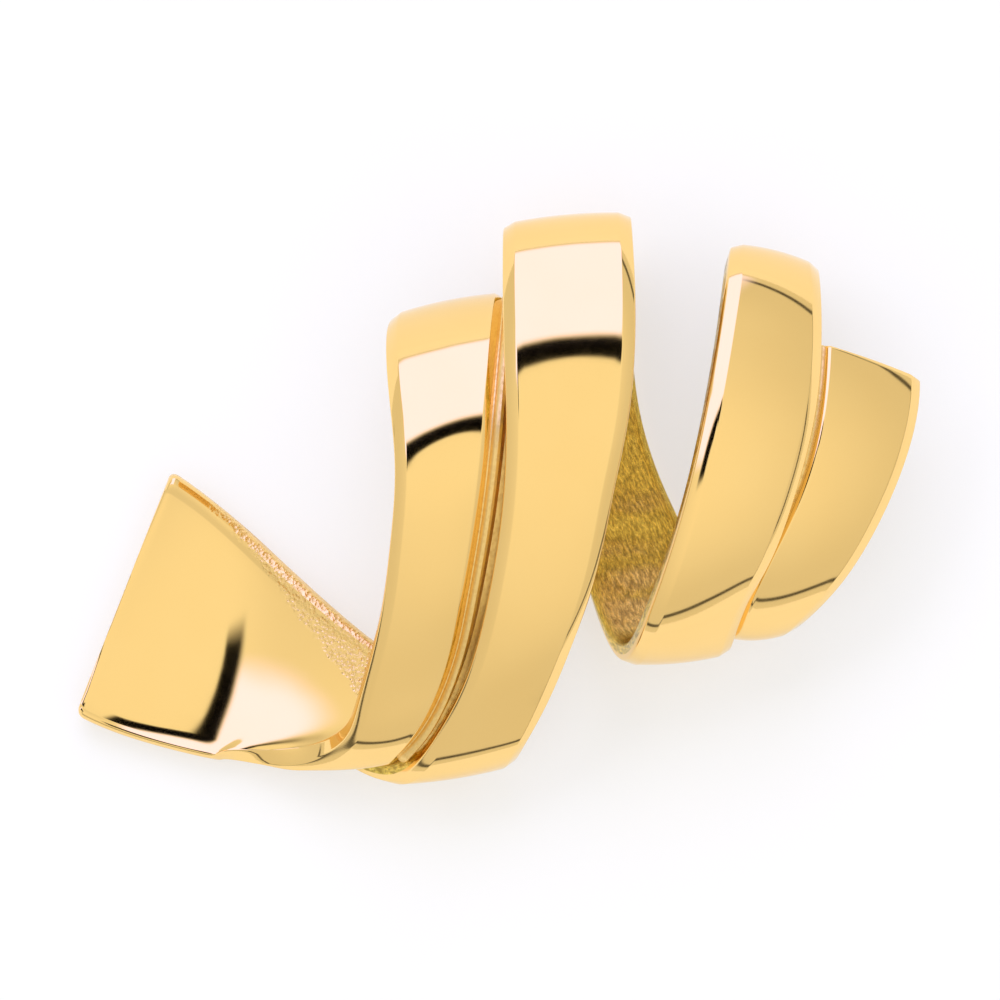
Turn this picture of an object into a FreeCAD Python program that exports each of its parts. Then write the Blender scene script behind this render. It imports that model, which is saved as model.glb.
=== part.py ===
import FreeCAD, Part
import math
import os
import Sketcher

# Slide pendant: one spiral of two ribbons fused side by side, lying on its back.
# Lengths are millimetres. X runs along the spiral, from the wide end panel to the
# narrow side band, Y points up the front, and Z points away from the surface.

# Sizes that every stretch of ribbon shares
RIBBON_SIZES = {
    "wall": 0.95,
    "shoulder": 0.35,
    "crown": 0.1,
}

# A row is one section across a ribbon. It gives the left and right edge of the
# outer face, and the turn of that face: 0 looks up the page, 90 to the front,
# 180 down the page and 270 to the back.
COLUMNS = ["left_x", "left_y", "left_z", "right_x", "right_y", "right_z", "turned"]

# The wide ribbon: short fold at the top, low band, bottom fold, end panel
WIDE_RIBBON = {
    "low_band_tip": (-4.2, 7.35, 2.3, 0.75, 8.35, 2.3, 0),
    "low_band_brow": (-4.55, 6.5, 5.7, 0.8, 7.6, 5.75, 30),
    "low_band_high": (-4.4, 4.1, 8.0, 0.95, 5.3, 8.1, 60),
    "low_band_crest": (-4.15, 1.2, 8.85, 1.0, 2.3, 8.95, 85),
    "low_band_middle": (-4.35, -2.1, 8.2, 0.8, -0.9, 8.5, 101),
    "low_band_low": (-4.8, -5.3, 6.9, 0.35, -3.9, 7.55, 113),
    "wide_bend_start": (-5.65, -8.6, 4.95, -0.25, -6.7, 6.15, 127),
    "wide_bend_front": (-6.6, -10.3, 3.4, 0.3, -9.5, 5.0, 155),
    "wide_bend_bottom": (-8.0, -10.95, 2.0, 0.4, -10.4, 4.2, 190),
    "wide_bend_back": (-10.2, -10.75, 0.85, -1.2, -8.85, 3.2, 228),
    "panel_start": (-11.1, -10.6, 0.45, -5.2, -5.6, 1.9, 246),
    "panel_bend": (-12.2, -10.35, 0.25, -8.9, -2.35, 0.6, 258),
    "panel_middle": (-14.4, -9.75, 0.1, -11.0, -0.5, 0.45, 268),
    "panel_end": (-17.0, -8.65, 0.3, -13.15, 1.1, 1.1, 274),
}

# The long ribbon: last high band, second fold, back pass, top fold, first high band
LONG_RIBBON = {
    "last_band_tip": (9.45, 9.5, 2.1, 12.85, 8.6, 0.9, -40),
    "last_band_top": (9.35, 10.25, 4.1, 12.9, 9.35, 2.9, 0),
    "last_band_brow": (9.3, 9.4, 6.3, 13.0, 8.45, 5.1, 42),
    "last_band_high": (8.95, 6.9, 7.95, 13.0, 6.0, 6.75, 60),
    "last_band_upper": (8.45, 4.0, 9.0, 12.7, 3.2, 7.8, 76),
    "last_band_middle": (7.8, 0.9, 9.3, 11.95, 0.2, 8.15, 91),
    "last_band_low": (6.95, -2.2, 8.75, 11.0, -2.5, 7.65, 108),
    "last_band_foot": (5.9, -5.3, 7.0, 9.9, -4.7, 6.15, 128),
    "second_bend_front": (5.35, -6.5, 5.1, 9.45, -6.0, 4.6, 155),
    "second_bend_bottom": (4.85, -6.7, 2.9, 9.2, -6.3, 2.8, 190),
    "second_bend_back": (4.3, -5.8, 1.25, 8.8, -5.3, 1.25, 222),
    "back_pass_foot": (3.5, -3.4, 0.4, 8.1, -3.0, 0.4, 250),
    "back_pass_low": (2.6, -0.5, 0.1, 6.9, -0.2, 0.1, 267),
    "back_pass_middle": (1.6, 3.0, 0.1, 5.75, 3.1, 0.1, 270),
    "back_pass_high": (0.8, 6.6, 0.1, 5.35, 6.9, 0.1, 276),
    "top_fold_back": (0.4, 9.6, 0.95, 5.35, 10.05, 0.95, 310),
    "top_fold_top": (0.2, 10.9, 3.4, 5.3, 11.35, 3.4, 350),
    "top_fold_front": (0.15, 10.75, 5.9, 5.3, 11.2, 5.9, 385),
    "high_band_brow": (0.15, 9.1, 7.85, 5.4, 9.5, 7.85, 412),
    "high_band_high": (0.2, 6.2, 9.2, 5.45, 6.55, 9.2, 435),
    "high_band_crest": (0.3, 3.0, 9.5, 5.2, 3.3, 9.5, 451),
    "high_band_middle": (0.15, -0.4, 9.1, 4.6, 0.2, 9.2, 461),
    "high_band_low": (-0.35, -3.8, 8.2, 3.95, -3.0, 8.45, 469),
    "high_band_foot": (-1.15, -7.0, 6.75, 2.95, -6.0, 7.3, 477),
    "first_bend_crease": (-2.5, -9.75, 4.75, 1.75, -8.85, 5.4, 491),
    "first_bend_front": (-3.6, -11.25, 3.2, 0.95, -10.4, 4.0, 520),
    "first_bend_bottom": (-4.7, -11.55, 1.7, 0.5, -10.8, 1.9, 555),
    "first_bend_back": (-6.0, -10.9, 0.55, -0.3, -10.1, 0.6, 595),
    "high_band_tail": (-7.6, -9.4, 0.25, -2.2, -8.3, 0.25, 622),
}

# The side ribbon: plain end at the top, side band, short fold at the bottom
SIDE_RIBBON = {
    "side_band_end": (12.05, 6.55, 6.2, 17.0, 4.8, 4.3, 62),
    "side_band_high": (11.85, 3.6, 7.35, 16.6, 2.2, 5.5, 76),
    "side_band_middle": (11.1, 0.4, 7.75, 15.4, -0.9, 5.9, 93),
    "side_band_low": (10.1, -2.5, 7.1, 13.85, -3.5, 5.35, 110),
    "side_band_foot": (9.2, -4.5, 5.7, 12.6, -4.9, 4.4, 130),
    "side_bend_front": (8.75, -5.6, 4.0, 12.0, -5.45, 3.4, 162),
    "side_bend_bottom": (8.45, -5.6, 2.3, 11.6, -5.5, 2.1, 198),
    "side_bend_tip": (8.1, -4.4, 1.15, 11.0, -4.2, 1.1, 235),
}

# The web closes the step between the low band's top fold and the high band. It is
# a crescent between two arcs in a plane across the spiral.
WEB_SIZES = {
    "web_side_x": 0.35,
    "web_breadth": 0.6,
    "web_outer_y": 4.65,
    "web_outer_z": 3.05,
    "web_outer_radius": 6.15,
    "web_inner_y": 2.45,
    "web_inner_z": 2.95,
    "web_inner_radius": 5.5,
    "web_outer_foot_z": 4.1,
    "web_outer_head_z": 9.0,
    "web_inner_foot_z": 2.7,
    "web_inner_head_z": 8.35,
}

RIBBONS = {
    "wide_ribbon": WIDE_RIBBON,
    "long_ribbon": LONG_RIBBON,
    "side_ribbon": SIDE_RIBBON,
}


def fill_sheet(doc):
    """Put every driving dimension in the document's sheet, one alias each."""
    sheet = doc.addObject("Spreadsheet::Sheet", "sizes")
    sizes = RIBBON_SIZES | WEB_SIZES
    for rows in RIBBONS.values():
        for name, values in rows.items():
            for column, value in zip(COLUMNS, values):
                sizes[f"{name}_{column}"] = value
    for line, (alias, value) in enumerate(sizes.items(), start=1):
        sheet.set(f"A{line}", alias)
        sheet.set(f"B{line}", str(value))
        sheet.setAlias(f"B{line}", alias)
    doc.recompute()
    return sheet


def section_rails(sheet, row):
    """The points that shape one section: corners, and the pulls that round them."""
    left, right = (
        FreeCAD.Vector(*(sheet.get(f"{row}_{side}_{axis}") for axis in "xyz"))
        for side in ("left", "right")
    )
    wall, shoulder, crown = (sheet.get(size) for size in RIBBON_SIZES)
    across = right - left
    heading = math.degrees(math.atan2(across.y, across.x))
    slope = -math.degrees(math.atan2(across.z, math.hypot(across.x, across.y)))
    stand = FreeCAD.Rotation(heading, slope, sheet.get(f"{row}_turned"))
    width = across.Length
    outline = {
        "inner_left": (0, -wall),
        "inner_right": (width, -wall),
        "right_side": (width, -shoulder),
        "right_corner": (width, 0),
        "right_shoulder": (width - shoulder, 0),
        "crown_pull": (width / 2, 2 * crown),
        "left_shoulder": (shoulder, 0),
        "left_corner": (0, 0),
        "left_side": (0, -shoulder),
    }
    return {key: left + stand.multVec(FreeCAD.Vector(x, y, 0)) for key, (x, y) in outline.items()}


# Each strip of a ribbon's skin runs between these rails; a middle one only pulls it
SKIN = {
    "inner_face": ("inner_left", "inner_right"),
    "right_edge": ("inner_right", "right_side"),
    "right_round": ("right_side", "right_corner", "right_shoulder"),
    "outer_face": ("right_shoulder", "crown_pull", "left_shoulder"),
    "left_round": ("left_shoulder", "left_corner", "left_side"),
    "left_edge": ("left_side", "inner_left"),
}


def add_ribbon(doc, sheet, name, rows):
    """Skin one ribbon along smooth rails through its sections, and close its ends."""
    sections = [section_rails(sheet, row) for row in rows]
    travelled = [0.0]
    for before, after in zip(sections, sections[1:]):
        steps = [before[key].distanceToPoint(after[key]) for key in before]
        travelled.append(travelled[-1] + sum(steps) / len(steps))
    rails = {}
    for key in sections[0]:
        rails[key] = Part.BSplineCurve()
        rails[key].interpolate(Points=[section[key] for section in sections], Parameters=travelled)
    along = rails["inner_left"]
    strips = []
    for keys in SKIN.values():
        strip = Part.BSplineSurface()
        bend = len(keys) - 1
        strip.buildFromPolesMultsKnots(
            [rails[key].getPoles() for key in keys],
            [bend + 1, bend + 1], along.getMultiplicities(),
            [0.0, 1.0], along.getKnots(),
            False, False, bend, along.Degree,
        )
        strips.append(strip)
    faces = [strip.toShape() for strip in strips]
    for end in (travelled[0], travelled[-1]):
        faces.append(Part.Face(Part.Wire([strip.vIso(end).toShape() for strip in strips])))
    shell = Part.Shell(faces)
    shell.sewShape()
    solid = Part.Solid(shell)
    if solid.Volume < 0:
        solid.reverse()
    ribbon = doc.addObject("Part::Feature", name)
    ribbon.Shape = solid
    return ribbon


def web_arc(centre_y, centre_z, radius, foot_z, head_z):
    """An arc over its centre, from its foot height to its head height past the top."""
    start = math.asin((foot_z - centre_z) / radius)
    end = math.pi - math.asin((head_z - centre_z) / radius)
    axis = FreeCAD.Vector(0, 0, 1)
    circle = Part.Circle(FreeCAD.Vector(centre_y, centre_z, 0), axis, radius)
    return Part.ArcOfCircle(circle, start, end)


def add_web(doc):
    """Extrude the crescent under the high band's left edge."""
    sketch = doc.addObject("Sketcher::SketchObject", "web_outline")
    sketch.setExpression("Placement", "placement(vector(sizes.web_side_x; 0; 0); rotation(90; 0; 90))")
    keys = "y", "z", "radius", "foot_z", "head_z"
    outer, inner, foot, head = range(4)
    arcs = [web_arc(*(WEB_SIZES[f"web_{side}_{key}"] for key in keys)) for side in ("outer", "inner")]
    sketch.addGeometry(arcs, False)
    sketch.addGeometry([
        Part.LineSegment(arcs[inner].StartPoint, arcs[outer].StartPoint),
        Part.LineSegment(arcs[outer].EndPoint, arcs[inner].EndPoint),
    ], False)
    for rule in (
        ("Coincident", foot, 1, inner, 1),
        ("Coincident", foot, 2, outer, 1),
        ("Coincident", head, 1, outer, 2),
        ("Coincident", head, 2, inner, 2),
    ):
        sketch.addConstraint(Sketcher.Constraint(*rule))
    for side, arc in (("outer", outer), ("inner", inner)):
        for key, rule in (
            ("y", ("DistanceX", -1, 1, arc, 3)),
            ("z", ("DistanceY", -1, 1, arc, 3)),
            ("radius", ("Radius", arc)),
            ("foot_z", ("DistanceY", -1, 1, arc, 1)),
            ("head_z", ("DistanceY", -1, 1, arc, 2)),
        ):
            size = f"web_{side}_{key}"
            number = sketch.addConstraint(Sketcher.Constraint(*rule, WEB_SIZES[size]))
            sketch.setExpression(f"Constraints[{number}]", f"sizes.{size} * 1 mm")
    web = doc.addObject("Part::Extrusion", "band_web")
    web.Base = sketch
    web.DirMode = "Normal"
    web.Solid = True
    web.setExpression("LengthFwd", "sizes.web_breadth * 1 mm")
    return web


def build_spiral(doc, sheet):
    """Fuse the ribbons and the web into the one piece of metal."""
    pieces = [add_ribbon(doc, sheet, name, rows) for name, rows in RIBBONS.items()]
    pieces.append(add_web(doc))
    spiral = doc.addObject("Part::MultiFuse", "spiral_ribbon")
    spiral.Label = "spiral_ribbon"
    spiral.Shapes = pieces
    doc.recompute()
    return spiral


def check(doc, spiral):
    """Stop before anything is written if an object failed or the metal isn't one solid."""
    failed = [item.Name for item in doc.Objects if {"Invalid", "Error"} & set(item.State)]
    if failed:
        raise RuntimeError(f"failed objects: {failed}")
    if not spiral.Shape.isValid() or len(spiral.Shape.Solids) != 1:
        raise RuntimeError(f"bad shape: {spiral.Label}")


def main():
    doc = FreeCAD.newDocument("slide_pendant")
    sheet = fill_sheet(doc)
    spiral = build_spiral(doc, sheet)
    check(doc, spiral)
    os.makedirs("parts", exist_ok=True)
    spiral.Shape.Solids[0].exportStep(f"parts/{spiral.Label}.step")
    box = spiral.Shape.optimalBoundingBox()
    lows = box.XMin, box.YMin, box.ZMin
    highs = box.XMax, box.YMax, box.ZMax
    print("box", [round(value, 2) for value in lows + highs], "volume", round(spiral.Shape.Volume, 1))


main()
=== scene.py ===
import math

import bpy
import numpy as np
from mathutils import Matrix, Vector


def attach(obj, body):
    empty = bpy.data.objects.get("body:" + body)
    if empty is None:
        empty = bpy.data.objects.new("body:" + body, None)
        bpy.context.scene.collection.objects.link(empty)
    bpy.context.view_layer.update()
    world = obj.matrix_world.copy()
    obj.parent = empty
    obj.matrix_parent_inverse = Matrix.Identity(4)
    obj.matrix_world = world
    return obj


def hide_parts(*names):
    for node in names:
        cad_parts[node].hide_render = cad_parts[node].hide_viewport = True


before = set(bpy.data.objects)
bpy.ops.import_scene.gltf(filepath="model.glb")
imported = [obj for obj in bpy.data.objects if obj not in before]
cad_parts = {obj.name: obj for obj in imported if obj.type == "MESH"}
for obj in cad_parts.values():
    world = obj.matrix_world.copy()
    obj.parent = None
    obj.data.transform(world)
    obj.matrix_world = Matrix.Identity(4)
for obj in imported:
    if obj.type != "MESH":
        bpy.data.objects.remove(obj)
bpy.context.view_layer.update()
bpy.ops.object.select_all(action="DESELECT")

MM = 0.001

# The metal's thickness, the chamfer along a front edge, and the swell of a front face
WALL = 0.95
CHAMFER_BREADTH = 0.5
CHAMFER_DROP = 0.24
CROWN = 0.1

# A ribbon's mesh: its step along the ribbon, the points across a face, the sections
# added in a rounded end as shares of the rounding, and each ribbon's rounding
FINE_STEP = 0.12
FACE_POINTS = 17
END_SHARES = (0.03, 0.12, 0.25, 0.45, 0.7)
WIDE_END_ROUND = 0.35
LONG_END_ROUND = 0.3
SIDE_END_ROUND = 0.15

# Points nearer than this many metres are one, and a sharper edge than this stays sharp
WELD_GAP = 1e-7
CREASE_ANGLE = math.radians(32)

# A row is one section across a ribbon, in millimetres. It gives the left and right
# edge of the outer face, the turn of that face (0 looks up the page, 90 to the front,
# 180 down the page and 270 to the back), the breadth of the seam beside the next
# band, and how deep the inner face is dished.
COLUMNS = "left_x left_y left_z right_x right_y right_z turned seam dish".split()
WIDE_RIBBON = {
    "low_band_tip": (-4.2, 7.35, 2.3, 0.75, 8.35, 2.3, 0, 0.95, 0),
    "low_band_brow": (-4.55, 6.5, 5.7, 0.8, 7.6, 5.75, 30, 1.1, 0),
    "low_band_high": (-4.4, 4.1, 8.0, 0.95, 5.3, 8.1, 60, 1.5, 0),
    "low_band_crest": (-4.15, 1.2, 8.85, 1.0, 2.3, 8.95, 85, 1.8, 0),
    "low_band_middle": (-4.35, -2.1, 8.2, 0.8, -0.9, 8.5, 101, 2.0, 0),
    "low_band_low": (-4.8, -5.3, 6.9, 0.35, -3.9, 7.55, 113, 2.1, 0),
    "wide_bend_start": (-5.65, -8.6, 4.95, -0.25, -6.7, 6.15, 127, 2.3, 0),
    "wide_bend_front": (-6.6, -10.3, 3.4, 0.3, -9.5, 5.0, 155, 4.2, 0.02),
    "wide_bend_bottom": (-8.0, -10.95, 2.0, 0.4, -10.4, 4.2, 190, 5.0, 0.04),
    "wide_bend_back": (-10.2, -10.75, 0.85, -1.2, -8.85, 3.2, 228, 2.0, 0.1),
    "panel_start": (-11.1, -10.6, 0.45, -5.2, -5.6, 1.9, 246, 0.5, 0.2),
    "panel_bend": (-12.2, -10.35, 0.25, -8.9, -2.35, 0.6, 258, 0.5, 0.3),
    "panel_middle": (-14.4, -9.75, 0.1, -11.0, -0.5, 0.45, 268, 0.5, 0.3),
    "panel_end": (-17.0, -8.65, 0.3, -13.15, 1.1, 1.1, 274, 0.5, 0.3),
}
LONG_RIBBON = {
    "last_band_tip": (9.45, 9.5, 2.1, 12.85, 8.6, 0.9, -40, 0, 0),
    "last_band_top": (9.35, 10.25, 4.1, 12.9, 9.35, 2.9, 0, 0, 0),
    "last_band_brow": (9.3, 9.4, 6.3, 13.0, 8.45, 5.1, 42, 0, 0),
    "last_band_high": (8.95, 6.9, 7.95, 13.0, 6.0, 6.75, 60, 0, 0),
    "last_band_upper": (8.45, 4.0, 9.0, 12.7, 3.2, 7.8, 76, 0, 0),
    "last_band_middle": (7.8, 0.9, 9.3, 11.95, 0.2, 8.15, 91, 0, 0),
    "last_band_low": (6.95, -2.2, 8.75, 11.0, -2.5, 7.65, 108, 0, 0),
    "last_band_foot": (5.9, -5.3, 7.0, 9.9, -4.7, 6.15, 128, 0, 0),
    "second_bend_front": (5.35, -6.5, 5.1, 9.45, -6.0, 4.6, 155, 0, 0),
    "second_bend_bottom": (4.85, -6.7, 2.9, 9.2, -6.3, 2.8, 190, 0, 0),
    "second_bend_back": (4.3, -5.8, 1.25, 8.8, -5.3, 1.25, 222, 0, 0),
    "back_pass_foot": (3.5, -3.4, 0.4, 8.1, -3.0, 0.4, 250, 0, 0),
    "back_pass_low": (2.6, -0.5, 0.1, 6.9, -0.2, 0.1, 267, 0, 0),
    "back_pass_middle": (1.6, 3.0, 0.1, 5.75, 3.1, 0.1, 270, 0, 0),
    "back_pass_high": (0.8, 6.6, 0.1, 5.35, 6.9, 0.1, 276, 0, 0),
    "top_fold_back": (0.4, 9.6, 0.95, 5.35, 10.05, 0.95, 310, 0, 0),
    "top_fold_top": (0.2, 10.9, 3.4, 5.3, 11.35, 3.4, 350, 0, 0),
    "top_fold_front": (0.15, 10.75, 5.9, 5.3, 11.2, 5.9, 385, 0, 0),
    "high_band_brow": (0.15, 9.1, 7.85, 5.4, 9.5, 7.85, 412, 0, 0),
    "high_band_high": (0.2, 6.2, 9.2, 5.45, 6.55, 9.2, 435, 0, 0),
    "high_band_crest": (0.3, 3.0, 9.5, 5.2, 3.3, 9.5, 451, 0, 0),
    "high_band_middle": (0.15, -0.4, 9.1, 4.6, 0.2, 9.2, 461, 0, 0),
    "high_band_low": (-0.35, -3.8, 8.2, 3.95, -3.0, 8.45, 469, 0, 0),
    "high_band_foot": (-1.15, -7.0, 6.75, 2.95, -6.0, 7.3, 477, 0, 0),
    "first_bend_crease": (-2.5, -9.75, 4.75, 1.75, -8.85, 5.4, 491, 0, 0),
    "first_bend_front": (-3.6, -11.25, 3.2, 0.95, -10.4, 4.0, 520, 0, 0),
    "first_bend_bottom": (-4.7, -11.55, 1.7, 0.5, -10.8, 1.9, 555, 0, 0),
    "first_bend_back": (-6.0, -10.9, 0.55, -0.3, -10.1, 0.6, 595, 0, 0),
    "high_band_tail": (-7.6, -9.4, 0.25, -2.2, -8.3, 0.25, 622, 0, 0),
}
SIDE_RIBBON = {
    "side_band_end": (12.05, 6.55, 6.2, 17.0, 4.8, 4.3, 62, 1.45, 0),
    "side_band_high": (11.85, 3.6, 7.35, 16.6, 2.2, 5.5, 76, 1.35, 0),
    "side_band_middle": (11.1, 0.4, 7.75, 15.4, -0.9, 5.9, 93, 1.25, 0),
    "side_band_low": (10.1, -2.5, 7.1, 13.85, -3.5, 5.35, 110, 0.9, 0),
    "side_band_foot": (9.2, -4.5, 5.7, 12.6, -4.9, 4.4, 130, 0.95, 0),
    "side_bend_front": (8.75, -5.6, 4.0, 12.0, -5.45, 3.4, 162, 0.9, 0),
    "side_bend_bottom": (8.45, -5.6, 2.3, 11.6, -5.5, 2.1, 198, 0.8, 0),
    "side_bend_tip": (8.1, -4.4, 1.15, 11.0, -4.2, 1.1, 235, 0.6, 0),
}

# An edge treatment is a chain of (distance in from the edge of the face, drop below
# the face), from the face outwards. A seam's distances are from where the face ends.
CHAMFERED = (
    (CHAMFER_BREADTH + 0.03, 0.0),
    (CHAMFER_BREADTH, 0.004),
    (CHAMFER_BREADTH - 0.04, 0.018),
    (0.05, CHAMFER_DROP - 0.02),
    (0.015, CHAMFER_DROP + 0.015),
    (0.0, CHAMFER_DROP + 0.07),
    (0.0, WALL / 2),
)
RIDGED_SEAM = (
    (0.0, 0.0),
    (0.03, 0.004),
    (0.07, 0.02),
    (0.3, 0.17),
    (0.38, 0.26),
    (0.44, 0.26),
    (0.52, 0.12),
    (0.62, 0.06),
    (0.76, 0.06),
    (0.87, 0.13),
    (0.94, 0.3),
    (1.0, 0.4),
    (1.2, 0.42),
)
PLAIN_SEAM = (
    (0.0, 0.0),
    (0.03, 0.004),
    (0.07, 0.02),
    (0.2, 0.14),
    (0.26, 0.2),
    (0.34, 0.22),
    (0.6, 0.2),
)

# How far out a seam turns from polished to cast metal, how near it may come to the
# wall beside it, and how far down that wall goes
RIDGED_SEAM_CAST = 0.38
PLAIN_SEAM_CAST = 0.22
WALL_CLEARANCE = 0.02
RIDGED_WALL_FOOT = WALL / 2 + 0.1
# A ridged seam is as deep as drawn from the broad breadth up, and gets shallower towards
# the narrow one, but never below the least share of its depth
SEAM_BROAD = 0.8
SEAM_NARROW = 0.4
SEAM_LEAST_DEPTH = 0.3

# The inner face's edges, as (distance in, depth below the inner face): plain ones, and
# those of the hollow panel, which has a rolled lip above and a thin rim below.
PLAIN_INNER = (
    (0.0, 0.15), (0.02, 0.1), (0.08, 0.05), (0.15, 0.02), (0.19, 0.0), (0.3, 0.0), (0.4, 0.0),
)
LIP = (
    (0.0, 0.3), (0.03, 0.14), (0.16, -0.02), (0.36, -0.1), (0.58, -0.05), (0.74, 0.08), (0.82, 0.1),
)
RIM = (
    (0.0, 0.3), (0.03, 0.16), (0.1, 0.04), (0.2, -0.02), (0.3, 0.0), (0.36, 0.04), (0.4, 0.06),
)
# The dish from which the edges are wholly the panel's
LIP_DISH = 0.3

# The zones of a section, numbered as a ribbon's finishes are
POLISHED, SEAM, INSIDE = range(3)

# The web that closes the step between the two bands of the first pass, under their top
# folds: its left side, its breadth, and the outer and inner arc it lies between, each
# as the centre's y and z, the radius, and the heights of its foot and its head.
WEB_LEFT = 0.35
WEB_BREADTH = 0.6
WEB_OUTER = (4.65, 3.05, 6.15, 4.1, 9.0)
WEB_INNER = (2.45, 2.95, 5.5, 2.7, 8.35)
WEB_STEPS = 24


def spline(knots, values, places):
    """A smooth cubic through values at knots, read at places. Its ends are left free."""
    steps = np.diff(knots)
    slopes = np.diff(values, axis=0) / steps[:, None]
    count = len(knots)
    bends = np.zeros((count, count))
    sides = np.zeros_like(values)
    for row in range(1, count - 1):
        bends[row, row - 1] = steps[row - 1]
        bends[row, row] = 2 * (steps[row - 1] + steps[row])
        bends[row, row + 1] = steps[row]
        sides[row] = 6 * (slopes[row] - slopes[row - 1])
    bends[0, :3] = steps[1], -(steps[0] + steps[1]), steps[0]
    bends[-1, -3:] = steps[-1], -(steps[-2] + steps[-1]), steps[-2]
    curves = np.linalg.solve(bends, sides)
    spans = np.clip(np.searchsorted(knots, places) - 1, 0, count - 2)
    step = steps[spans][:, None]
    after = (places - knots[spans])[:, None]
    before = step - after
    straight = (before * values[spans] + after * values[spans + 1]) / step
    left_pull = (before**3 / step - before * step) * curves[spans] / 6
    right_pull = (after**3 / step - after * step) * curves[spans + 1] / 6
    return straight + left_pull + right_pull


def outline(width, seam, dish, left_edge, right_edge):
    """The points of one section, from its left wall over the face and back inside."""
    points = []
    left_start = seam if left_edge is PLAIN_SEAM else CHAMFERED[0][0]
    right_start = width - (seam if right_edge is RIDGED_SEAM else CHAMFERED[0][0])
    if left_edge is PLAIN_SEAM:
        points.append((0.0, -WALL / 2, SEAM))
        points.append((WALL_CLEARANCE, -PLAIN_SEAM[-1][1], SEAM))
        for inwards, drop in reversed(PLAIN_SEAM[1:]):
            zone = SEAM if inwards > PLAIN_SEAM_CAST else POLISHED
            points.append((max(seam - inwards, WALL_CLEARANCE), -drop, zone))
    else:
        for inwards, drop in reversed(CHAMFERED[1:]):
            points.append((inwards, -drop, POLISHED))
    for number in range(FACE_POINTS):
        share = number / (FACE_POINTS - 1)
        x = left_start + (right_start - left_start) * share
        points.append((x, CROWN * (1 - (2 * share - 1) ** 2), POLISHED))
    if right_edge is RIDGED_SEAM:
        reach = min(1.0, seam / RIDGED_SEAM[-1][0])
        full = (seam - SEAM_NARROW) / (SEAM_BROAD - SEAM_NARROW)
        depth = min(1.0, max(SEAM_LEAST_DEPTH, full))
        for outwards, drop in RIDGED_SEAM[1:]:
            zone = SEAM if outwards >= RIDGED_SEAM_CAST else POLISHED
            points.append((right_start + outwards * reach, -drop * depth, zone))
        points.append((width, -RIDGED_SEAM[-1][1] * depth, SEAM))
        points.append((width, -RIDGED_WALL_FOOT, SEAM))
    else:
        for inwards, drop in CHAMFERED[1:]:
            points.append((width - inwards, -drop, POLISHED))
    lip = inner_edge(LIP, dish)
    rim = inner_edge(RIM, dish)
    for inwards, depth in lip:
        points.append((width - inwards, -WALL + depth, INSIDE))
    for number in range(1, FACE_POINTS - 1):
        share = number / (FACE_POINTS - 1)
        x = width - lip[-1][0] - (width - lip[-1][0] - rim[-1][0]) * share
        depth = lip[-1][1] + (rim[-1][1] - lip[-1][1]) * share
        points.append((x, -WALL + depth + dish * (1 - (2 * share - 1) ** 2), INSIDE))
    for inwards, depth in reversed(rim):
        points.append((inwards, -WALL + depth, INSIDE))
    return points


def inner_edge(chain, dish):
    """The inner face's edge between its plain shape and the panel's, by the dish."""
    share = min(1.0, dish / LIP_DISH)
    return [
        (plain_in + (inwards - plain_in) * share, plain_depth + (depth - plain_depth) * share)
        for (plain_in, plain_depth), (inwards, depth) in zip(PLAIN_INNER, chain)
    ]


def section(row, left_edge, right_edge):
    """The outline of a table row, stood in its place, and the zone of each point."""
    size = dict(zip(COLUMNS, row))
    left = Vector([size[f"left_{axis}"] for axis in "xyz"])
    right = Vector([size[f"right_{axis}"] for axis in "xyz"])
    across = right - left
    heading = math.atan2(across.y, across.x)
    slope = -math.atan2(across.z, math.hypot(across.x, across.y))
    stand = Matrix.Rotation(heading, 3, "Z") @ Matrix.Rotation(slope, 3, "Y")
    stand = stand @ Matrix.Rotation(math.radians(size["turned"]), 3, "X")
    points = outline(across.length, size["seam"], size["dish"], left_edge, right_edge)
    places = [left + stand @ Vector((x, y, 0)) for x, y, zone in points]
    return places, [zone for x, y, zone in points]


def drawn_in(ring, inset):
    """A section made narrower and thinner by an inset all round, for a rounded end."""
    centre = ring.mean(axis=0)
    for axis in np.linalg.svd(ring - centre)[2][:2]:
        places = (ring - centre) @ axis
        middle = (places.max() + places.min()) / 2
        share = 2 * inset / np.ptp(places)
        ring = ring - np.outer((places - middle) * share, axis)
    return ring


def make_ribbon(name, rows, left_edge, right_edge, end_round, finishes):
    """Sections along smooth rails through the table's rows, drawn in at both ends."""
    sections = []
    for row in rows.values():
        places, zones = section(row, left_edge, right_edge)
        sections.append(places)
    rails = np.array([[list(place) for place in places] for places in sections])
    steps = np.linalg.norm(np.diff(rails, axis=0), axis=2).mean(axis=1)
    travelled = np.concatenate([[0.0], np.cumsum(steps)])
    length = travelled[-1]
    even = np.linspace(0.0, length, round(length / FINE_STEP) + 1)
    near = end_round * np.array(END_SHARES)
    along = np.unique(np.concatenate([even, near, length - near]))
    around = rails.shape[1]
    rings = spline(travelled, rails.reshape(len(rails), -1), along).reshape(-1, around, 3)
    for index, place in enumerate(along):
        left_over = end_round - min(place, length - place)
        if left_over > 0:
            inset = end_round - math.sqrt(end_round**2 - left_over**2)
            rings[index] = drawn_in(rings[index], inset)
    return lay_grid(name, rings, zones, finishes)


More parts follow.
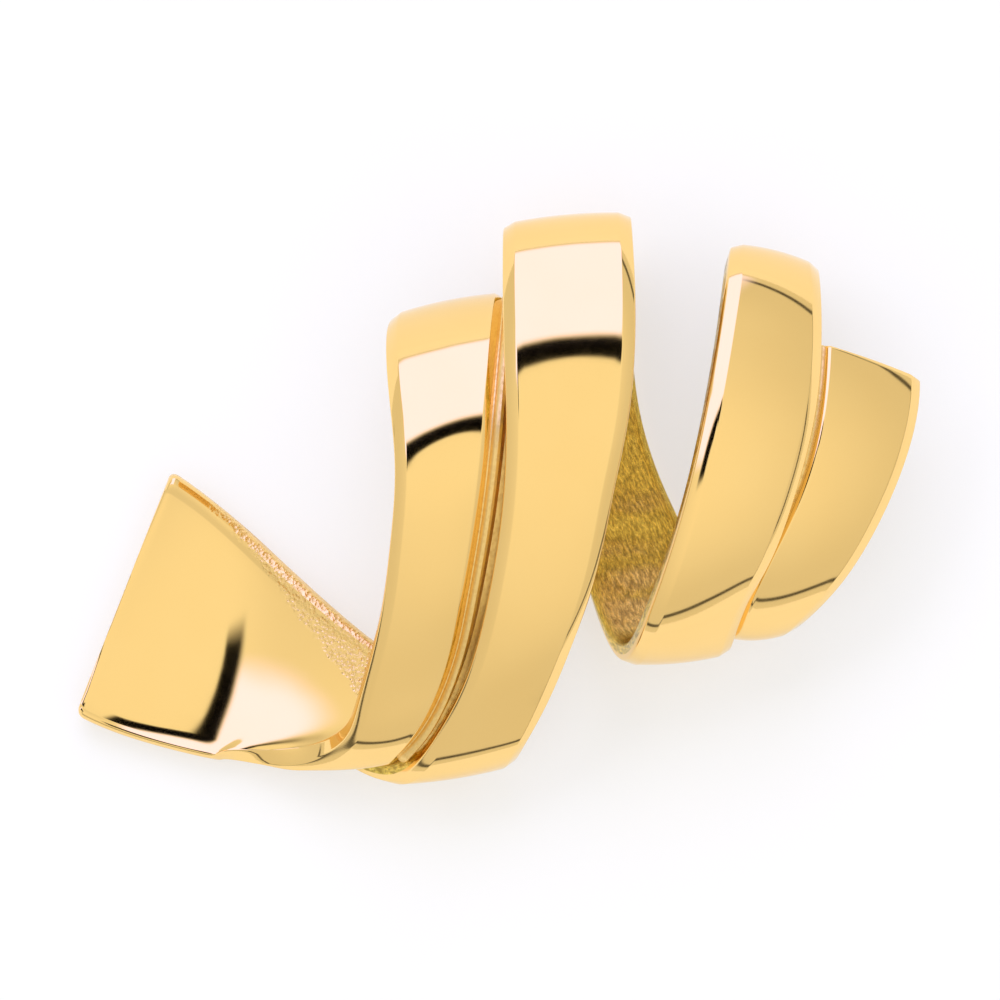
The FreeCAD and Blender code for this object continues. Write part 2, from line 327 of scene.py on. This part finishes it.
def make_web(name, finishes):
    """The plate between the web's two arcs. It has one finish, so its zones are all 0."""
    rings = []
    for share in np.linspace(0.0, 1.0, WEB_STEPS + 1):
        places = []
        for middle_y, middle_z, radius, foot, head in (WEB_OUTER, WEB_INNER):
            start = math.asin((foot - middle_z) / radius)
            end = math.pi - math.asin((head - middle_z) / radius)
            angle = start + (end - start) * share
            places.append((middle_y + radius * math.cos(angle), middle_z + radius * math.sin(angle)))
        outer, inner = places
        right = WEB_LEFT + WEB_BREADTH
        rings.append([(WEB_LEFT, *outer), (right, *outer), (right, *inner), (WEB_LEFT, *inner)])
    return lay_grid(name, np.array(rings), [0] * 4, finishes)


def lay_grid(name, rings, zones, finishes):
    """Lay a grid over rings of points, with a finish for each zone, and close its ends."""
    around = rings.shape[1]
    closed = np.concatenate([rings, rings[:, :1]], axis=1)
    bpy.ops.mesh.primitive_grid_add(x_subdivisions=around, y_subdivisions=len(rings) - 1, size=1)
    piece = bpy.context.object
    piece.name = name
    piece.data.name = name
    piece.data.vertices.foreach_set("co", (closed * MM).ravel())
    for finish in finishes:
        piece.data.materials.append(finish)
    for face in piece.data.polygons:
        face.material_index = zones[face.index % around]
    bpy.ops.object.mode_set(mode="EDIT")
    bpy.ops.mesh.select_all(action="SELECT")
    bpy.ops.mesh.remove_doubles(threshold=WELD_GAP)
    bpy.ops.mesh.select_all(action="DESELECT")
    bpy.ops.mesh.select_mode(type="EDGE")
    bpy.ops.mesh.select_non_manifold(extend=False)
    bpy.ops.mesh.fill(use_beauty=True)
    bpy.ops.mesh.select_all(action="SELECT")
    bpy.ops.mesh.normals_make_consistent(inside=False)
    bpy.ops.mesh.select_mode(type="VERT")
    bpy.ops.mesh.select_all(action="DESELECT")
    bpy.ops.object.mode_set(mode="OBJECT")
    bpy.ops.object.shade_smooth_by_angle(angle=CREASE_ANGLE)
    bpy.ops.object.select_all(action="DESELECT")
    return piece


def new_group(name, inputs, outputs):
    """A shader node group with named sockets. inputs and outputs give name, type, value."""
    group = bpy.data.node_groups.new(name, "ShaderNodeTree")
    for socket, kind, value in inputs:
        made = group.interface.new_socket(socket, in_out="INPUT", socket_type=kind)
        if value is not None:
            made.default_value = value
    for socket, kind in outputs:
        group.interface.new_socket(socket, in_out="OUTPUT", socket_type=kind)
    start = group.nodes.new("NodeGroupInput")
    end = group.nodes.new("NodeGroupOutput")
    return group, start.outputs, end.inputs


def node(tree, kind, inputs=None, **settings):
    """Add a node, with its settings, and its inputs linked or set."""
    made = tree.nodes.new(kind)
    for key, value in settings.items():
        setattr(made, key, value)
    for key, value in (inputs or {}).items():
        if isinstance(value, bpy.types.NodeSocket):
            tree.links.new(value, made.inputs[key])
        else:
            made.inputs[key].default_value = value
    return made


def calculate(tree, operation, *values):
    """The result of a Math node on numbers and sockets, in the order of its inputs."""
    return node(tree, "ShaderNodeMath", dict(enumerate(values)), operation=operation).outputs[0]


def spread(tree, value, span, results):
    """Map a value from one range to another, held at both ends and eased."""
    inputs = {
        "Value": value, "From Min": span[0], "From Max": span[1], "To Min": results[0], "To Max": results[1],
    }
    return node(tree, "ShaderNodeMapRange", inputs, interpolation_type="SMOOTHSTEP").outputs["Result"]


def blend(tree, kind, factor, first, second):
    """Mix first and second by a factor. kind is FLOAT or RGBA."""
    inputs = {"Factor": factor, "A": first, "B": second}
    return node(tree, "ShaderNodeMix", inputs, data_type=kind).outputs["Result"]


# How tall each relief in the metal is, in metres, where its strength is 1
RIPPLE_HEIGHT = 0.0002
PIT_HEIGHT = 0.0001
BEND_HEIGHT = 0.0007
LINE_HEIGHT = 0.00006


def polish_wear_group():
    """Faint unevenness of a hand-polished surface: roughness and a soft ripple."""
    group, given, result = new_group(
        "polish_wear",
        [
            ("Vector", "NodeSocketVector", None),
            ("Roughness", "NodeSocketFloat", 0.06),
            ("Variation", "NodeSocketFloat", 0.03),
            ("Ripple", "NodeSocketFloat", 0.1),
        ],
        [("Roughness", "NodeSocketFloat"), ("Normal", "NodeSocketVector"), ("Tone", "NodeSocketFloat")],
    )
    place = given["Vector"]
    broad = node(group, "ShaderNodeTexNoise", {"Vector": place, "Scale": 260.0, "Detail": 2.0})
    fine = node(group, "ShaderNodeTexNoise", {"Vector": place, "Scale": 2600.0, "Detail": 3.0})
    swing = calculate(group, "SUBTRACT", fine.outputs["Fac"], 0.5)
    varied = calculate(group, "MULTIPLY", swing, given["Variation"])
    rough = calculate(group, "ADD", varied, given["Roughness"])
    bump = node(
        group, "ShaderNodeBump",
        {"Height": broad.outputs["Fac"], "Strength": given["Ripple"], "Distance": RIPPLE_HEIGHT},
    )
    group.links.new(rough, result["Roughness"])
    group.links.new(bump.outputs["Normal"], result["Normal"])
    group.links.new(broad.outputs["Fac"], result["Tone"])
    return group


def cast_grain_group():
    """Small pits and grains of a cast surface that no wheel has reached."""
    group, given, result = new_group(
        "cast_grain",
        [
            ("Vector", "NodeSocketVector", None),
            ("Scale", "NodeSocketFloat", 3000.0),
            ("Depth", "NodeSocketFloat", 0.5),
        ],
        [("Normal", "NodeSocketVector"), ("Pits", "NodeSocketFloat")],
    )
    place, scale = given["Vector"], given["Scale"]
    cells = node(group, "ShaderNodeTexVoronoi", {"Vector": place, "Scale": scale})
    grain = node(group, "ShaderNodeTexNoise", {"Vector": place, "Scale": scale, "Detail": 3.0})
    pits = spread(group, cells.outputs["Distance"], (0.15, 0.6), (0.0, 1.0))
    both = calculate(group, "MULTIPLY", pits, grain.outputs["Fac"])
    bump = node(
        group, "ShaderNodeBump", {"Height": both, "Strength": given["Depth"], "Distance": PIT_HEIGHT},
    )
    group.links.new(bump.outputs["Normal"], result["Normal"])
    group.links.new(both, result["Pits"])
    return group


def brushing_group():
    """Fine lines of a brush run along the ribbon, and its uneven bends, from its UV map."""
    group, given, result = new_group(
        "brushing",
        [
            ("UV", "NodeSocketVector", None),
            ("Across", "NodeSocketFloat", 18.0),
            ("Along", "NodeSocketFloat", 30.0),
            ("Depth", "NodeSocketFloat", 0.3),
        ],
        [("Normal", "NodeSocketVector"), ("Lines", "NodeSocketFloat")],
    )
    line_scale = node(group, "ShaderNodeCombineXYZ", {"X": given["Across"], "Y": given["Along"], "Z": 1.0})
    line_place = node(
        group, "ShaderNodeVectorMath",
        {0: given["UV"], 1: line_scale.outputs["Vector"]}, operation="MULTIPLY",
    )
    lines = node(
        group, "ShaderNodeTexNoise",
        {"Vector": line_place.outputs["Vector"], "Scale": 6.0, "Detail": 4.0, "Roughness": 0.75},
    )
    bend_place = node(
        group, "ShaderNodeVectorMath", {0: given["UV"], 1: (2.0, 26.0, 1.0)}, operation="MULTIPLY",
    )
    bends = node(
        group, "ShaderNodeTexNoise",
        {"Vector": bend_place.outputs["Vector"], "Scale": 1.0, "Detail": 1.0},
    )
    bent = node(
        group, "ShaderNodeBump",
        {"Height": bends.outputs["Fac"], "Strength": 1.0, "Distance": BEND_HEIGHT},
    )
    bump = node(
        group, "ShaderNodeBump",
        {
            "Height": lines.outputs["Fac"], "Strength": given["Depth"], "Distance": LINE_HEIGHT,
            "Normal": bent.outputs["Normal"],
        },
    )
    group.links.new(bump.outputs["Normal"], result["Normal"])
    group.links.new(lines.outputs["Fac"], result["Lines"])
    return group


# The golds' colours, from the polished front to the dark gold of the lines inside the coils, whose darkness
# is painted shade
GOLD = (0.99, 0.69, 0.265, 1.0)
GOLD_DEEP = (0.97, 0.655, 0.235, 1.0)
GOLD_PALE = (0.86, 0.59, 0.2, 1.0)
GOLD_PALER = (0.94, 0.66, 0.25, 1.0)
GOLD_CAST = (0.97, 0.71, 0.15, 1.0)
GOLD_SHADED_INSIDE = (0.34, 0.22, 0.04, 1.0)

# Each finish's roughness: evenly polished, then by the depth of pits or of brushed lines
POLISH = {"Roughness": 0.07, "Variation": 0.04, "Ripple": 0.06}
PIT_SPAN = (0.1, 0.6)
SEAM_ROUGHNESS = (0.5, 0.34)
CAST_ROUGHNESS = (0.45, 0.2)
LINE_SPAN = (0.3, 0.7)
BRUSHED_ROUGHNESS = (0.15, 0.07)
# The brush lines mix the inside's gold between these shares of dark gold and cast gold; the dark gold is
# painted shade inside the coils
LINE_SHADE_SPAN = (0.35, 0.65)
LINE_SHADE_MIX = (0.15, 1.0)

# The panel is cast where x + 0.78 y, in metres, is past this span, give or take the stray
CAST_SLANT = 0.78
CAST_STRAY = 0.0014
CAST_SPAN = (-0.0112, -0.0108)


def use_group(tree, group, inputs):
    """Place a node group in a material, with its own values."""
    return node(tree, "ShaderNodeGroup", inputs, node_tree=group).outputs


def new_metal(name):
    """An empty gold material, its node tree, and its places on the object and the UV map."""
    material = bpy.data.materials.new(name)
    material.use_nodes = True
    tree = material.node_tree
    tree.nodes["Principled BSDF"].inputs["Metallic"].default_value = 1.0
    coordinates = tree.nodes.new("ShaderNodeTexCoord")
    return material, tree, coordinates.outputs["Object"], coordinates.outputs["UV"]


def finish_metal(tree, colour, roughness, normal):
    """Link a gold material's colour, roughness and relief to its shader."""
    shader = tree.nodes["Principled BSDF"]
    tree.links.new(colour, shader.inputs["Base Color"])
    tree.links.new(roughness, shader.inputs["Roughness"])
    tree.links.new(normal, shader.inputs["Normal"])


def polished_gold(groups):
    """The front faces and chamfers."""
    material, tree, place, uv = new_metal("polished_gold")
    wear = use_group(tree, groups["wear"], {"Vector": place, **POLISH})
    colour = blend(tree, "RGBA", wear["Tone"], GOLD, GOLD_DEEP)
    finish_metal(tree, colour, wear["Roughness"], wear["Normal"])
    return material


def seam_gold(groups):
    """The grooves between two bands, lightly pitted."""
    material, tree, place, uv = new_metal("cast_seam_gold")
    grain = use_group(tree, groups["grain"], {"Vector": place, "Scale": 5000.0, "Depth": 0.06})
    rough = spread(tree, grain["Pits"], PIT_SPAN, SEAM_ROUGHNESS)
    colour = blend(tree, "RGBA", grain["Pits"], GOLD_PALE, GOLD_PALER)
    finish_metal(tree, colour, rough, grain["Normal"])
    return material


def brushed_shaded_gold(groups):
    """The inside of the coils: brush lines, with painted shade mixed into their gold."""
    material, tree, place, uv = new_metal("brushed_shaded_gold")
    brushing = use_group(tree, groups["brushing"], {"UV": uv, "Depth": 0.6})
    rough = spread(tree, brushing["Lines"], LINE_SPAN, BRUSHED_ROUGHNESS)
    # The brush lines set the mix of cast gold and dark gold: partly real brush marks, partly painted shade
    # inside the coils
    lines_and_shade = spread(tree, brushing["Lines"], LINE_SHADE_SPAN, LINE_SHADE_MIX)
    colour = blend(tree, "RGBA", lines_and_shade, GOLD_SHADED_INSIDE, GOLD_CAST)
    finish_metal(tree, colour, rough, brushing["Normal"])
    return material


def panel_gold(groups):
    """The panel's hollow face: polished, but left as cast near the bottom fold."""
    material, tree, place, uv = new_metal("panel_gold")
    wear = use_group(tree, groups["wear"], {"Vector": place, **POLISH})
    grain = use_group(tree, groups["grain"], {"Vector": place, "Scale": 5500.0, "Depth": 0.55})
    wander = node(tree, "ShaderNodeTexNoise", {"Vector": place, "Scale": 900.0, "Detail": 3.0})
    parts = node(tree, "ShaderNodeSeparateXYZ", {0: place}).outputs
    lean = calculate(tree, "MULTIPLY_ADD", parts["Y"], CAST_SLANT, parts["X"])
    stray = calculate(tree, "MULTIPLY_ADD", wander.outputs["Fac"], CAST_STRAY, lean)
    cast = spread(tree, stray, CAST_SPAN, (0.0, 1.0))
    rough_cast = spread(tree, grain["Pits"], PIT_SPAN, CAST_ROUGHNESS)
    rough = blend(tree, "FLOAT", cast, wear["Roughness"], rough_cast)
    # A Mix node's direction sockets, by number: factor 0, inputs 4 and 5, and output 1
    relief = node(
        tree, "ShaderNodeMix", {0: cast, 4: wear["Normal"], 5: grain["Normal"]}, data_type="VECTOR",
    )
    colour = blend(tree, "RGBA", wear["Tone"], GOLD, GOLD_DEEP)
    finish_metal(tree, colour, rough, relief.outputs[1])
    return material


def make_metal():
    """The three ribbons and the web between two of them, which stand for the one solid."""
    groups = {"wear": polish_wear_group(), "grain": cast_grain_group(), "brushing": brushing_group()}
    polished = polished_gold(groups)
    seam = seam_gold(groups)
    brushed = brushed_shaded_gold(groups)
    panel = panel_gold(groups)
    coil = (polished, seam, brushed)
    pieces = [
        make_ribbon(
            "wide_ribbon", WIDE_RIBBON, CHAMFERED, RIDGED_SEAM, WIDE_END_ROUND, (polished, seam, panel),
        ),
        make_ribbon("long_ribbon", LONG_RIBBON, CHAMFERED, CHAMFERED, LONG_END_ROUND, coil),
        make_ribbon("side_ribbon", SIDE_RIBBON, PLAIN_SEAM, CHAMFERED, SIDE_END_ROUND, coil),
        make_web("ribbon_web", (seam,)),
    ]
    for piece in pieces:
        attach(piece, "root")
    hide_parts("spiral_ribbon")


FLOOR_SIZE = 3.0


def floor():
    """A broad pale floor under the pendant, a little bright of itself."""
    bpy.ops.mesh.primitive_plane_add(size=FLOOR_SIZE)
    plane = bpy.context.object
    plane.name = "floor"
    material = bpy.data.materials.new("pale_floor")
    material.use_nodes = True
    tree = material.node_tree
    shader = tree.nodes["Principled BSDF"]
    coordinates = tree.nodes.new("ShaderNodeTexCoord")
    grain = node(tree, "ShaderNodeTexNoise", {"Vector": coordinates.outputs["Object"], "Scale": 40.0})
    tone = spread(tree, grain.outputs["Fac"], (0.3, 0.7), (0.44, 0.46))
    tree.links.new(tone, shader.inputs["Base Color"])
    shader.inputs["Emission Color"].default_value = (1.0, 1.0, 1.0, 1.0)
    shader.inputs["Emission Strength"].default_value = 0.53
    shader.inputs["Roughness"].default_value = 0.9
    shader.inputs["Specular IOR Level"].default_value = 0.2
    plane.data.materials.append(material)
    bpy.ops.object.select_all(action="DESELECT")


# Where the studio's lights begin and end, each eased over a span in degrees. A lean is
# measured from straight up. A bearing is 0 up the page and grows to the right.
SOFTBOX_LEFT = (-84, -70)
SOFTBOX_RIGHT = (18, 28)
SOFTBOX_NEAR = (27, 31)
SOFTBOX_FAR_EASE = (0, 3)
# The softbox's far edge leans this much at the first bearing and at the second
SOFTBOX_FAR_BEARINGS = (-44, -20)
SOFTBOX_FAR_LEANS = (47, 87)
GAP_NEAR = (17, 19)
GAP_FAR = (26, 30)
GAP_LEFT = (-100, -85)
GAP_RIGHT = (38, 48)
RIM_NEAR = (80.5, 82)
RIM_FAR = (83.5, 85)
RIM_DARKNESS = -0.7
TENT_LEANS = (15, 75)
TENT_BRIGHTNESS = (1.02, 0.78)

TENT_COLOUR = (1.0, 0.985, 0.96, 1.0)
COOL_LIGHT = (0.46, 0.45, 1.0, 1.0)
COOL_STRENGTH = 2.9
NEUTRAL_LIGHT = (1.0, 1.0, 1.0, 1.0)
NEUTRAL_STRENGTH = 3.3
BACKDROP = (0.9, 0.9, 0.9, 1.0)


def studio():
    """A pale tent over the floor, as the world: ceiling, one wide softbox, dark gaps."""
    world = bpy.data.worlds.new("studio")
    bpy.context.scene.world = world
    world.use_nodes = True
    tree = world.node_tree
    tree.nodes.clear()
    output = tree.nodes.new("ShaderNodeOutputWorld")
    coordinates = tree.nodes.new("ShaderNodeTexCoord")
    path = tree.nodes.new("ShaderNodeLightPath")

    def times(first, second):
        return calculate(tree, "MULTIPLY", first, second)

    def outside(share):
        return calculate(tree, "SUBTRACT", 1.0, share)

    def eased(angle, degrees, results):
        return spread(tree, angle, [math.radians(end) for end in degrees], results)

    def between(angle, start, end):
        return times(eased(angle, start, (0.0, 1.0)), eased(angle, end, (1.0, 0.0)))

    def background(colour, strength):
        return node(tree, "ShaderNodeBackground", {"Color": colour, "Strength": strength}).outputs[0]

    def seen_by(ray, others, these):
        inputs = {0: path.outputs[ray], 1: others, 2: these}
        return node(tree, "ShaderNodeMixShader", inputs).outputs[0]

    parts = node(tree, "ShaderNodeSeparateXYZ", {0: coordinates.outputs["Generated"]}).outputs
    lean = calculate(tree, "ARCCOSINE", parts["Z"])
    bearing = calculate(tree, "ARCTAN2", parts["X"], parts["Y"])

    ahead = between(bearing, SOFTBOX_LEFT, SOFTBOX_RIGHT)
    far_leans = [math.radians(end) for end in SOFTBOX_FAR_LEANS]
    far_edge = eased(bearing, SOFTBOX_FAR_BEARINGS, far_leans)
    past_edge = calculate(tree, "SUBTRACT", lean, far_edge)
    box_near = eased(lean, SOFTBOX_NEAR, (0.0, 1.0))
    box_far = eased(past_edge, SOFTBOX_FAR_EASE, (1.0, 0.0))
    softbox = times(times(box_near, box_far), ahead)

    gap = times(between(lean, GAP_NEAR, GAP_FAR), between(bearing, GAP_LEFT, GAP_RIGHT))
    rim = times(between(lean, RIM_NEAR, RIM_FAR), outside(ahead))
    ceiling = eased(lean, TENT_LEANS, TENT_BRIGHTNESS)
    tent = calculate(tree, "MULTIPLY_ADD", rim, RIM_DARKNESS, ceiling)
    tent = times(times(tent, outside(gap)), outside(softbox))

    # The metal sees a cool softbox, which its gold turns nearly white. The floor is lit
    # evenly by a neutral one, and the camera sees a plain pale backdrop.
    walls = background(TENT_COLOUR, tent)
    cool = background(COOL_LIGHT, times(softbox, COOL_STRENGTH))
    neutral = background(NEUTRAL_LIGHT, times(softbox, NEUTRAL_STRENGTH))
    box = seen_by("Is Diffuse Ray", cool, neutral)
    light = node(tree, "ShaderNodeAddShader", {0: walls, 1: box}).outputs[0]
    surface = seen_by("Is Camera Ray", light, background(BACKDROP, 1.0))
    tree.links.new(surface, output.inputs["Surface"])


def camera():
    """Straight above the pendant, a long way off, with 40 mm across the frame."""
    distance = 1.0
    middle_height = 0.005
    frame_width = 0.04
    frame_pixels = 1000
    middle_x, middle_y = 498.5, 497.5
    data = bpy.data.cameras.new("camera")
    data.sensor_width = 36.0
    data.lens = data.sensor_width * distance / frame_width
    data.clip_start = 0.05
    data.clip_end = 10.0
    made = bpy.data.objects.new("camera", data)
    bpy.context.scene.collection.objects.link(made)
    pixel = frame_width / frame_pixels
    half = frame_pixels / 2
    made.location = ((half - middle_x) * pixel, (middle_y - half) * pixel, middle_height + distance)
    bpy.context.scene.camera = made


make_metal()
floor()
studio()
camera()
bpy.context.scene.view_settings.view_transform = "Standard"
